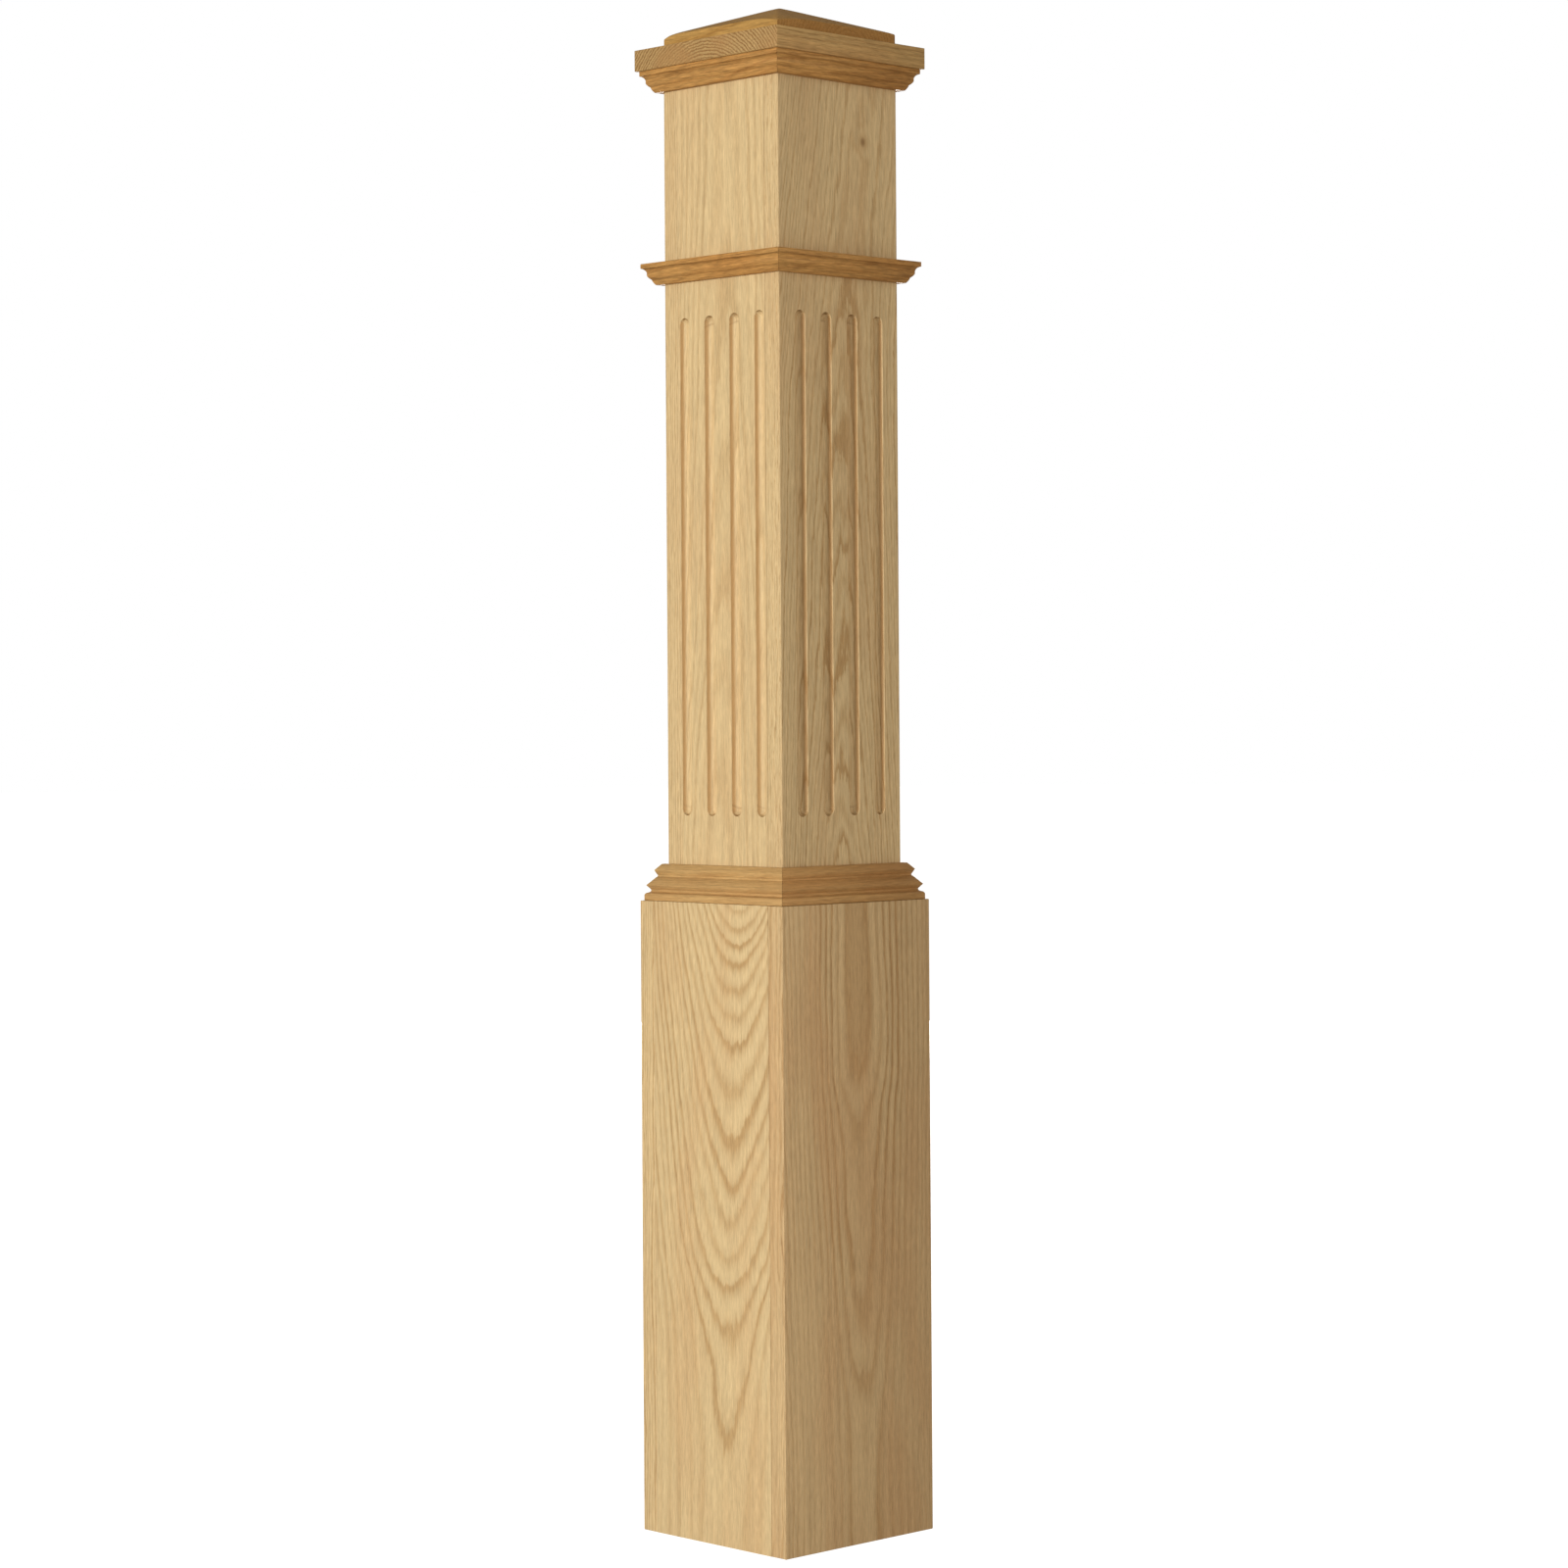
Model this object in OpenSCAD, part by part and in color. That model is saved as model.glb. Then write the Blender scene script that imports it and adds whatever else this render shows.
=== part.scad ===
// Hollow box newel post. Four flat boards make a wide lower box, and four fluted boards make a
// narrower upper box that is glued down inside it. Mitred mouldings run round the foot of the
// flutes, above the flutes and under the cap, which is a square plate with a low hip-roofed block
// glued on top of it.
//
// Origin: centre of the underside. +Z is up. Left is -X, right is +X, front is -Y, back is +Y.

/* [Upper box] */
// Outside width of the upper box
upper_w = 127.5; // [100:0.5:160]
// Thickness of its boards
upper_t = 15.5; // [12:0.5:20]
// Height of the upper box that shows above the lower box
upper_h = 643.9; // [520:0.1:780]
// Length of the upper box that is glued down inside the lower box
lap_l = 100; // [40:1:200]

/* [Lower box] */
// Height of the lower box
lower_h = 488.9; // [380:0.1:600]
// Thickness of its boards, which stand outside the upper box
lower_t = 15.5; // [12:0.5:20]

/* [Flutes] */
// Flutes on each face of the upper box
flute_n = 4; // [1:1:4]
// Width of one flute at the face
flute_w = 11; // [6:0.5:12]
// Depth of one flute
flute_d = 4; // [2:0.1:4.5]
// Plain wood between the outer flutes and the seams of the narrow boards
flute_seam_gap = 1; // [0.5:0.1:10]
// Plain wood between the foot moulding and the flutes
flute_foot_gap = 37.8; // [15:0.1:60]
// Plain wood between the flutes and the band moulding
flute_band_gap = 27.5; // [15:0.1:60]

/* [Foot moulding] */
// Height of the foot moulding
foot_h = 28.3; // [24:0.1:40]
// Top edge of the lower boards that shows outside it
foot_reveal = 2.1; // [0:0.1:2.2]
// Height of its square bottom edge
foot_edge_h = 3.6; // [2:0.1:5]

/* [Band and crown mouldings] */
// Height of the band and of the crown, which have one profile
trim_h = 16.4; // [14:0.1:24]
// How far they stand out from the upper box
trim_proj = 13.4; // [11:0.1:18]
// Plain wood between the band and the crown
frieze_h = 133; // [60:1:180]

/* [Cap] */
// How far the cap's plate stands out past the crown
cap_overhang = 2.6; // [0:0.1:12]
// Thickness of the plate
plate_t = 16.4; // [10:0.1:30]
// Width of the flat ledge that the plate leaves round the top block
ledge_w = 16.3; // [5:0.1:25]
// Height of the top block's upright sides
riser_h = 10.8; // [4:0.1:25]
// Rise of its hip roof from the upright sides to the peak
roof_h = 21.3; // [8:0.1:50]

/* [Fits] */
// Glue line between any two pieces
glue_gap = 0.1; // [0:0.05:0.3]

/* [Hidden] */

$fn = 64;
eps = 0.01;

// The four sides, as quarter turns from +X.
RIGHT = 0;
BACK = 1;
LEFT = 2;
FRONT = 3;

// Widths that follow from the fits.
lower_w = upper_w + 2 * (lower_t + glue_gap);
mould_seat = upper_w / 2 + glue_gap;
foot_proj = lower_t - foot_reveal;
plate_w = 2 * (mould_seat + trim_proj + cap_overhang);
top_w = plate_w - 2 * ledge_w;

// Heights, from the floor up.
upper_z0 = lower_h - lap_l;
upper_top = lower_h + upper_h;
foot_z = lower_h + glue_gap;
crown_z = upper_top - trim_h;
band_z = crown_z - frieze_h - trim_h;
flute_z0 = foot_z + foot_h + flute_foot_gap;
flute_z1 = band_z - flute_band_gap;
plate_z = upper_top + glue_gap;
top_z = plate_z + plate_t + glue_gap;

// A round-nosed cutter of this radius, sunk to flute_d, leaves a groove flute_w wide.
flute_r = (flute_w * flute_w / 4 + flute_d * flute_d) / (2 * flute_d);
// The flutes are spread evenly between the seams of the narrow boards.
flute_span = narrow_w(upper_w, upper_t) - 2 * flute_seam_gap - flute_w;
flute_pitch = flute_n > 1 ? flute_span / (flute_n - 1) : 0;

// Width of the boards that fit between the two full-width boards of a box.
function narrow_w(box_w, t) = box_w - 2 * (t + glue_gap);

// Points along an arc from p to q that bows out by `sagitta` to the right of the way it runs.
// A negative sagitta bows it the other way.
function bow(p, q, sagitta, steps = 6) =
    let (
        chord = norm(q - p),
        along = (q - p) / chord,
        across = [along.y, -along.x],
        r = (chord * chord / 4 + sagitta * sagitta) / (2 * sagitta),
        centre = (p + q) / 2 - across * (r - sagitta),
        half = asin(chord / 2 / r)
    )
    [for (i = [0 : steps])
        let (a = half * (2 * i / steps - 1))
        centre + r * (across * cos(a) + along * sin(a))];

// Foot moulding in section, from the upper box outwards (x) and up (y): a square edge with a
// rounded shoulder, then two sharp beads, each with a round-bottomed valley below it.
// Places along it are measured in from its outermost face and up from its underside.
foot_shoulder = [foot_proj - 2.4, foot_edge_h + 2.5];
foot_shoulder_bow = 0.75;
foot_valley_low = [[foot_proj - 2.7, foot_edge_h + 2.8], [foot_proj - 3.2, foot_edge_h + 5.4]];
foot_valley_low_bow = -0.85;
foot_bead_low = [foot_proj - 1, foot_h * 0.413];
foot_bead_high = [foot_proj - 5.45, foot_h * 0.827];
foot_valley_high = [foot_bead_high - [1.3, 5.3], foot_bead_high - [1.6, 3.3]];
foot_valley_high_bow = -0.6;
foot_lip = [foot_proj - 9.8, foot_h];
foot_profile = concat(
    [[0, 0], [foot_proj, 0]],
    bow([foot_proj, foot_edge_h], foot_shoulder, foot_shoulder_bow),
    bow(foot_valley_low[0], foot_valley_low[1], foot_valley_low_bow),
    [foot_bead_low],
    bow(foot_valley_high[0], foot_valley_high[1], foot_valley_high_bow),
    [foot_bead_high, foot_lip, [0, foot_h]]
);

// Band and crown in section: a narrow underside, two steps of rounded bead, a fillet, a cove
// and a square top edge. Places along it are measured as on the foot moulding.
trim_foot = [trim_proj - 8.5, 0];
trim_bead_low = [trim_proj - 6.1, trim_h * 0.256];
trim_step = [trim_proj - 5.9, trim_h * 0.262];
trim_bead_high = [trim_proj - 3.45, trim_h * 0.445];
trim_bead_bow = 0.3;
trim_cove_foot = [trim_proj - 3.45, trim_h * 0.567];
trim_cove_head = [trim_proj - 0.4, trim_h * 0.774];
trim_cove_bow = -0.65;
trim_profile = concat(
    [[0, 0]],
    bow(trim_foot, trim_bead_low, trim_bead_bow),
    bow(trim_step, trim_bead_high, trim_bead_bow),
    bow(trim_cove_foot, trim_cove_head, trim_cove_bow),
    [[trim_proj, trim_cove_head.y], [trim_proj, trim_h], [0, trim_h]]
);

// Turns what stands on the +X side to another side.
module on_side(side) {
    rotate([0, 0, 90 * side]) children();
}

// A board of a box: left and right boards are full width, and front and back fit between them.
module board(box_w, t, z0, h, side) {
    full = side == LEFT || side == RIGHT;
    w = full ? box_w : narrow_w(box_w, t);
    on_side(side) translate([box_w / 2 - t, -w / 2, z0]) cube([t, w, h]);
}

// The space that one round-nosed cutter sweeps, on the +X face at distance y from its centre.
module flute(y) {
    x = upper_w / 2 - flute_d + flute_r;
    z0 = flute_z0 + flute_w / 2;
    z1 = flute_z1 - flute_w / 2;
    translate([x, y, z0]) cylinder(r = flute_r, h = z1 - z0);
    translate([x, y, z0]) sphere(r = flute_r);
    translate([x, y, z1]) sphere(r = flute_r);
}

module lower_board(side) {
    color("burlywood") board(lower_w, lower_t, 0, lower_h, side);
}

module upper_board(side) {
    color("burlywood") difference() {
        board(upper_w, upper_t, upper_z0, upper_top - upper_z0, side);
        on_side(side)
            for (i = [0 : flute_n - 1])
                flute((i - (flute_n - 1) / 2) * flute_pitch);
    }
}

// One side of a moulding that runs round the upper box, mitred at 45 degrees at both ends.
module mitred_length(profile, z, h, side) {
    reach = mould_seat + 2 * max(foot_proj, trim_proj);
    mitre = glue_gap / sqrt(2);
    on_side(side) translate([0, 0, z]) intersection() {
        translate([mould_seat, reach, 0]) rotate([90, 0, 0])
            linear_extrude(height = 2 * reach) polygon(profile);
        translate([0, 0, -eps]) linear_extrude(height = h + 2 * eps)
            polygon([[mitre, 0], [reach + mitre, -reach], [reach + mitre, reach]]);
    }
}

module foot_moulding(side) {
    color("peru") mitred_length(foot_profile, foot_z, foot_h, side);
}

module band_moulding(side) {
    color("peru") mitred_length(trim_profile, band_z, trim_h, side);
}

module crown_moulding(side) {
    color("peru") mitred_length(trim_profile, crown_z, trim_h, side);
}

module cap_plate() {
    color("tan") translate([-plate_w / 2, -plate_w / 2, plate_z])
        cube([plate_w, plate_w, plate_t]);
}

// The top block's outline as seen from one side, run straight through it.
module gable() {
    a = top_w / 2;
    rotate([90, 0, 0]) linear_extrude(height = top_w, center = true)
        polygon([[-a, 0], [a, 0], [a, riser_h], [0, riser_h + roof_h], [-a, riser_h]]);
}

module cap_top() {
    color("sandybrown") translate([0, 0, top_z]) intersection() {
        gable();
        rotate([0, 0, 90]) gable();
    }
}

lower_board(RIGHT);  // lower_right_board
lower_board(BACK);  // lower_back_board
lower_board(LEFT);  // lower_left_board
lower_board(FRONT);  // lower_front_board
upper_board(RIGHT);  // upper_right_board
upper_board(BACK);  // upper_back_board
upper_board(LEFT);  // upper_left_board
upper_board(FRONT);  // upper_front_board
foot_moulding(RIGHT);  // foot_moulding_right
foot_moulding(BACK);  // foot_moulding_back
foot_moulding(LEFT);  // foot_moulding_left
foot_moulding(FRONT);  // foot_moulding_front
band_moulding(RIGHT);  // band_moulding_right
band_moulding(BACK);  // band_moulding_back
band_moulding(LEFT);  // band_moulding_left
band_moulding(FRONT);  // band_moulding_front
crown_moulding(RIGHT);  // crown_moulding_right
crown_moulding(BACK);  // crown_moulding_back
crown_moulding(LEFT);  // crown_moulding_left
crown_moulding(FRONT);  // crown_moulding_front
cap_plate();
cap_top();
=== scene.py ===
"""Looks of the oak newel post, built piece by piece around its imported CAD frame."""

import logging
import math
from dataclasses import dataclass
from enum import Enum
from typing import Optional, Union

import bmesh
import bpy
from mathutils import Matrix, Vector


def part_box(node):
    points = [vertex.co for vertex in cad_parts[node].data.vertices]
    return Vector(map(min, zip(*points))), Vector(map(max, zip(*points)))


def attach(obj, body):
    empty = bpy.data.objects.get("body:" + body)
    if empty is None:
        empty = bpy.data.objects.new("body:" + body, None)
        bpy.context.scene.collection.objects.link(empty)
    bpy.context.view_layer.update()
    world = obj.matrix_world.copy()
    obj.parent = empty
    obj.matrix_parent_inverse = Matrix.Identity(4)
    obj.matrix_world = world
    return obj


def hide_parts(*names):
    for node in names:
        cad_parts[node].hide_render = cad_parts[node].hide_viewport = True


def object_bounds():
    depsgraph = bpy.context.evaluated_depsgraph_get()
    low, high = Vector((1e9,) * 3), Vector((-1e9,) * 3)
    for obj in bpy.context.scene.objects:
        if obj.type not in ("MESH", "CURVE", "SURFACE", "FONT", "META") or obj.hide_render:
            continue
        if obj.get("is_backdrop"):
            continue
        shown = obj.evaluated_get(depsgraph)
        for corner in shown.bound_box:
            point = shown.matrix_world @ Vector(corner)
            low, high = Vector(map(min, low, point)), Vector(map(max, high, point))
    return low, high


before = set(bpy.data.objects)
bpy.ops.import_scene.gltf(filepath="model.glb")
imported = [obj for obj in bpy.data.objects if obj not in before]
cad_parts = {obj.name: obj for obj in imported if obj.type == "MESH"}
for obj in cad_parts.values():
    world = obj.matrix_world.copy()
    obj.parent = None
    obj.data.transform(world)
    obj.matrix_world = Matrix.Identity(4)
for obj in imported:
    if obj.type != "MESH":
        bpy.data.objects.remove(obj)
CAD_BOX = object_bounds()

LOG = logging.getLogger("newel_post")
MM = 0.001

Socket = bpy.types.NodeSocket
Value = Union[Socket, float, tuple]
Colour = tuple[float, float, float]
Points = tuple[tuple[float, float], ...]
WHITE = (1.0, 1.0, 1.0)


class Side(Enum):
    """The four sides of the post, each with its quarter turns from the front."""

    FRONT = 0
    RIGHT = 1
    BACK = 2
    LEFT = 3

    @property
    def word(self) -> str:
        """The side's name as the CAD nodes spell it."""
        return self.name.lower()

    @property
    def turn(self) -> Matrix:
        """The rotation that takes the front of the post to this side."""
        return Matrix.Rotation(self.value * math.pi / 2, 4, "Z")


class Grain(Enum):
    """Which way the fibres of a piece run, seen from outside the side it is on."""

    UPRIGHT = "upright"
    LEVEL = "level"
    INWARD = "inward"


# --------------------------------------------------------------------------- meshes


def side_box(node: str, side: Side) -> tuple[Vector, Vector]:
    """Gives a node's box as if its side had been turned to the front.

    Args:
        node: The CAD node.
        side: The side that the node is on.

    Returns:
        The lowest and highest corner, in metres.
    """
    back = side.turn.inverted()
    corners = [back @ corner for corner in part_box(node)]
    low = Vector(map(min, *corners))
    high = Vector(map(max, *corners))
    return low, high


def piece_from(
    mesh: bmesh.types.BMesh, name: str, side: Side, node: str
) -> bpy.types.Object:
    """Turns a mesh made at the front to its side and hands it to the frame.

    Args:
        mesh: The mesh, in metres, made at the front.
        name: The new piece's name.
        side: The side where it goes.
        node: The CAD node that it stands for.

    Returns:
        The new piece.
    """
    bmesh.ops.recalc_face_normals(mesh, faces=mesh.faces)
    mesh.transform(side.turn)
    data = bpy.data.meshes.new(name)
    mesh.to_mesh(data)
    mesh.free()
    piece = bpy.data.objects.new(name, data)
    bpy.context.scene.collection.objects.link(piece)
    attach(piece, "root")
    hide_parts(node)
    return piece


def sharpen(mesh: bmesh.types.BMesh, degrees: float = 32.0) -> None:
    """Shades a mesh smooth except over edges that turn more than an angle.

    Args:
        mesh: The mesh to shade.
        degrees: The smallest turn that stays a sharp edge.
    """
    for face in mesh.faces:
        face.smooth = True
    for edge in mesh.edges:
        if len(edge.link_faces) != 2 or edge.calc_face_angle(0.0) > math.radians(degrees):
            edge.smooth = False


def ease_edges(
    mesh: bmesh.types.BMesh, edges: list[bmesh.types.BMEdge], ease: float, segments: int
) -> None:
    """Rounds over some edges of a mesh.

    Args:
        mesh: The mesh.
        edges: The edges.
        ease: How far each one is taken back, in metres.
        segments: How many facets the rounding has.
    """
    bmesh.ops.bevel(
        mesh,
        geom=edges,
        offset=ease,
        segments=segments,
        profile=0.5,
        affect="EDGES",
        clamp_overlap=True,
    )


def eased_box(low: Vector, high: Vector, ease: float) -> bmesh.types.BMesh:
    """Makes a squared piece of wood with its arrises taken off.

    Args:
        low: Its lowest corner.
        high: Its highest corner.
        ease: How far the arrises are taken back, in metres.

    Returns:
        The mesh.
    """
    mesh = bmesh.new()
    bmesh.ops.create_cube(mesh, size=1.0)
    size = high - low
    mesh.transform(Matrix.Translation((low + high) / 2) @ Matrix.Diagonal((*size, 1.0)))
    ease_edges(mesh, mesh.edges[:], ease, 3)
    return mesh


def bow(
    start: tuple[float, float], end: tuple[float, float], rise: float, steps: int = 10
) -> list[Vector]:
    """Gives points along an arc that bows out to the right of the way it runs.

    Args:
        start: Where the arc begins.
        end: Where it ends.
        rise: How far its middle stands off the straight line; below zero it bows the other way.
        steps: How many straight bits it is made of.

    Returns:
        The points, both ends among them.
    """
    first, last = Vector(start), Vector(end)
    chord = (last - first).length
    along = (last - first) / chord
    across = Vector((along.y, -along.x))
    radius = (chord * chord / 4 + rise * rise) / (2 * rise)
    centre = (first + last) / 2 - across * (radius - rise)
    half = math.asin(chord / 2 / radius)
    turns = [half * (2 * step / steps - 1) for step in range(steps + 1)]
    return [centre + radius * (across * math.cos(turn) + along * math.sin(turn)) for turn in turns]


# --------------------------------------------------------------------------- materials

LEAST_RISE = 1e-6  # a level curve is given this rise, so that nothing is divided by nought
SHIFT_WAYS = (1.0, 0.37, 1.71)  # how far a piece's own offset moves its noise each way


@dataclass(frozen=True)
class SoftStep:
    """A soft step: a number goes from `first` to `last` as another goes from `low` to `high`."""

    low: float
    high: float
    first: float = 0.0
    last: float = 1.0


@dataclass(frozen=True)
class Layer:
    """One layer of noise in the wood, drawn out along its fibres.

    Attributes:
        across: How many bumps there are to the mm across the fibres.
        along: How many there are to the mm along them.
        detail: How many finer octaves the noise has.
        roughness: How strong those are.
        shift: Keeps this layer apart from a piece's other layers.
    """

    across: float
    along: float
    detail: float = 2.0
    roughness: float = 0.5
    shift: float = 0.0


class Graph:
    """A node tree, with a short method for each kind of node or sum that the finishes use."""

    def __init__(self, material: Union[bpy.types.Material, bpy.types.World]) -> None:
        """Empties a node tree and keeps it.

        Args:
            material: What the tree belongs to.
        """
        material.use_nodes = True
        self.tree = material.node_tree
        self.tree.nodes.clear()

    def node(
        self, kind: str, inputs: dict[Union[str, int], Value], **settings: object
    ) -> bpy.types.Node:
        """Adds a node.

        Args:
            kind: Its type name.
            inputs: What goes in each named or numbered socket, a value or another node's output.
            **settings: The node's own settings.

        Returns:
            The node.
        """
        made = self.tree.nodes.new(kind)
        for key, setting in settings.items():
            setattr(made, key, setting)
        for key, value in inputs.items():
            if isinstance(value, Socket):
                self.tree.links.new(value, made.inputs[key])
            else:
                made.inputs[key].default_value = value
        return made

    def math(self, operation: str, *values: Value, clamp: bool = False) -> Socket:
        """Adds a Math node.

        Args:
            operation: What it works out.
            *values: What it works on.
            clamp: Whether the result is kept between 0 and 1.

        Returns:
            Its output.
        """
        inputs = dict(enumerate(values))
        return self.node("ShaderNodeMath", inputs, operation=operation, use_clamp=clamp).outputs[0]

    def vector(self, across: Value, inward: Value, along: Value) -> Socket:
        """Joins three numbers into a vector."""
        return self.node("ShaderNodeCombineXYZ", {0: across, 1: inward, 2: along}).outputs[0]

    def stretch(self, point: Socket, scales: Colour, offset: float) -> Socket:
        """Scales a point by a different amount each way, then moves it by a piece's own offset."""
        inputs = {0: point, 1: scales, 2: tuple(offset * way for way in SHIFT_WAYS)}
        return self.node("ShaderNodeVectorMath", inputs, operation="MULTIPLY_ADD").outputs[0]

    def noise(self, point: Socket, detail: float = 2.0, roughness: float = 0.5) -> Socket:
        """Gives soft noise from 0 to 1 at a point, with about one bump to each unit."""
        inputs = {"Vector": point, "Scale": 1.0, "Detail": detail, "Roughness": roughness}
        return self.node("ShaderNodeTexNoise", inputs, noise_dimensions="3D").outputs[0]

    def swing(self, noise: Socket, reach: float) -> Socket:
        """Turns noise from 0 to 1 into a push of up to about `reach` either way."""
        return self.math("MULTIPLY", self.math("SUBTRACT", noise, 0.5), 2 * reach)

    def layer(self, point: Socket, layer: Layer, seed: float) -> Socket:
        """Gives one layer of the wood's noise at a point, from 0 to 1."""
        drawn = self.stretch(point, (layer.across, layer.across, layer.along), seed + layer.shift)
        return self.noise(drawn, layer.detail, layer.roughness)

    def ramp(
        self, value: Value, low: float, high: float, first: float = 0.0, last: float = 1.0
    ) -> Socket:
        """Eases from `first` to `last` as a value goes from `low` to `high`."""
        inputs = {0: value, 1: low, 2: high, 3: first, 4: last}
        return self.node("ShaderNodeMapRange", inputs, interpolation_type="SMOOTHSTEP").outputs[0]

    def step(self, value: Value, step: SoftStep) -> Socket:
        """Takes a value through a named soft step."""
        return self.ramp(value, step.low, step.high, step.first, step.last)

    def mix(self, share: Value, first: Value, second: Value) -> Socket:
        """Mixes two colours."""
        made = self.node("ShaderNodeMix", {}, data_type="RGBA", blend_type="MIX")
        return self._colour_mix(made, share, first, second)

    def tint(self, share: Value, colour: Value, by: Value) -> Socket:
        """Multiplies a colour by another."""
        made = self.node("ShaderNodeMix", {}, data_type="RGBA", blend_type="MULTIPLY")
        return self._colour_mix(made, share, colour, by)

    def _colour_mix(self, made: bpy.types.Node, share: Value, first: Value, second: Value) -> Socket:
        """Fills the sockets of a colour mix.

        Args:
            made: The Mix node.
            share: How much of the second colour there is.
            first: The first colour.
            second: The second colour.

        Returns:
            The mixed colour.
        """
        sockets = (made.inputs[0], made.inputs[6], made.inputs[7])
        for socket, value in zip(sockets, (share, first, second)):
            if isinstance(value, Socket):
                self.tree.links.new(value, socket)
            elif isinstance(value, tuple):
                socket.default_value = (*value, 1.0)
            else:
                socket.default_value = value
        return made.outputs[2]

    def curve(self, value: Socket, points: Points) -> Socket:
        """Runs a number through a smooth curve.

        Args:
            value: The number.
            points: Where the curve passes, as pairs of number and result.

        Returns:
            The result.
        """
        starts = [point[0] for point in points]
        results = [point[1] for point in points]
        begin, low = min(starts), min(results)
        span = max(starts) - begin
        rise = max(max(results) - low, LEAST_RISE)
        share = self.math("DIVIDE", self.math("SUBTRACT", value, begin), span, clamp=True)
        made = self.node("ShaderNodeFloatCurve", {1: share})
        line = made.mapping.curves[0]
        while len(line.points) < len(points):
            line.points.new(0.5, 0.5)
        for spot, (start, result) in zip(line.points, sorted(points)):
            spot.location = ((start - begin) / span, (result - low) / rise)
            spot.handle_type = "AUTO_CLAMPED"
        made.mapping.update()
        return self.math("MULTIPLY_ADD", made.outputs[0], rise, low)

    def profile(self, value: Socket, stops: Points) -> Socket:
        """Runs a number from 0 to 1 through a ramp of greys.

        Args:
            value: The number.
            stops: Each stop's place and grey.

        Returns:
            The grey.
        """
        made = self.node("ShaderNodeValToRGB", {0: value})
        ramp = made.color_ramp
        while len(ramp.elements) < len(stops):
            ramp.elements.new(0.5)
        for element, (place, grey) in zip(ramp.elements, stops):
            element.position = place
            element.color = (grey, grey, grey, 1.0)
        return made.outputs[0]


RING_WANDER = Layer(0.022, 0.007, detail=1.0)  # the rings' slow wander
RING_FIDDLE = Layer(0.19, 0.03, shift=7.0)  # their short waves
RING_FUZZ = Layer(1.1, 0.10, roughness=0.7, shift=3.0)  # their ragged edges
OPEN_PORES = Layer(2.3, 0.09, roughness=0.6, shift=11.0)
WARM_PATCHES = Layer(0.028, 0.006, shift=23.0)
LONG_STREAKS = Layer(0.42, 0.010, detail=3.0, roughness=0.65, shift=31.0)
SHORT_FIBRES = Layer(1.2, 0.09, roughness=0.7, shift=37.0)
SANDED_GRIT = Layer(3.5, 0.5, shift=41.0)

# A growth ring from its start to the next one: a dark porous line, then dense pale wood.
RING_PROFILE = (
    (0.0, 0.45),
    (0.08, 0.95),
    (0.2, 0.9),
    (0.36, 0.4),
    (0.54, 0.08),
    (0.72, 0.0),
    (0.9, 0.15),
    (1.0, 0.45),
)
SPREAD_PITCH = 0.09  # how fast the rings' width changes from one to the next, in bumps to the mm
SPREAD = 0.55  # how far that moves a ring, in rings
SEED_STRIDE = 13.0  # keeps one piece's ring lines apart from another's
LEAST_STRENGTH = 0.45  # the palest ring line
MORE_STRENGTH = 0.6  # how much darker than that the darkest is
GRAZED_RING = SoftStep(0.05, 0.5, 1.35, 1.0)  # a line is darker where the face only grazes its ring
STRIP_FROM = 0.5  # how far inside a board's edge, in mm, the wood begins to count as that edge
STRIP_FULL = 0.2  # how far inside it counts in full
STRIP_STEADY = 0.85  # how much straighter the grain is on a full-width board's edges
STRIP_RINGS = 1.6  # how many more rings those edges show
BOLD_LINE = SoftStep(0.1, 0.7, 0.55, 0.0)  # how a bold line fades out to each side, in mm
HEART_EDGE = 0.9  # how far inside its radius the heart begins to fade, in mm
HEART_SHARE = 0.5  # how dark the heart is
PORE_OPENING = SoftStep(0.52, 0.70)  # where in its noise a pore begins and is open
PORES_IN_LINES = 0.7  # how many more pores the ring lines have
PORES_BETWEEN = 0.3  # how many the pale wood has
PATCH_SPAN = (0.42, 0.72)  # where in its noise a warm patch begins and is full
FIBRE_SHARE = 1.9  # how much stronger the short fibres are than the long streaks

KNOT_LENGTH = 1.3  # how much longer a knot is along the fibres than across them
KNOT_REACH = 6.0  # how far out it pushes the rings aside, in its radii
KNOT_PUSH = 1.1  # how far it pushes them, in its radii
KNOT_HALO = SoftStep(0.6, 3.6, 0.6, 0.0)  # how its dark halo fades outward, in its radii
KNOT_CORE = SoftStep(0.2, 1.7, 0.85, 0.0)  # how its darkest wood does

END_GRAIN = SoftStep(0.55, 0.95)  # how squarely a face must cut the fibres to show end grain
PORE_ROUGHNESS = 0.25  # how much duller the pores are
LINE_ROUGHNESS = 0.07  # how much duller the ring lines are
LINE_RELIEF = -0.35  # how deep the ring lines are beside a pore
GRIT_RELIEF = 0.12  # how high the sanding marks are beside a pore's depth
PORE_DEPTH = 0.00012  # how deep the pores look, in metres
BUMP_STRENGTH = 0.55
WOOD_IOR = 1.45
WOOD_GLOSS = 0.18  # sanded and unvarnished


@dataclass(frozen=True)
class Place:
    """Where a point is in its board, in mm, as outputs of a material's nodes.

    Attributes:
        across: Its distance across the face from the middle.
        inward: Its distance in from the face.
        along: Its distance along the fibres.
        point: The three together.
    """

    across: Socket
    inward: Socket
    along: Socket
    point: Socket


@dataclass(frozen=True)
class Knot:
    """A pin knot: where it is on the face, in mm across and along, and its radius."""

    across: float
    along: float
    radius: float


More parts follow.
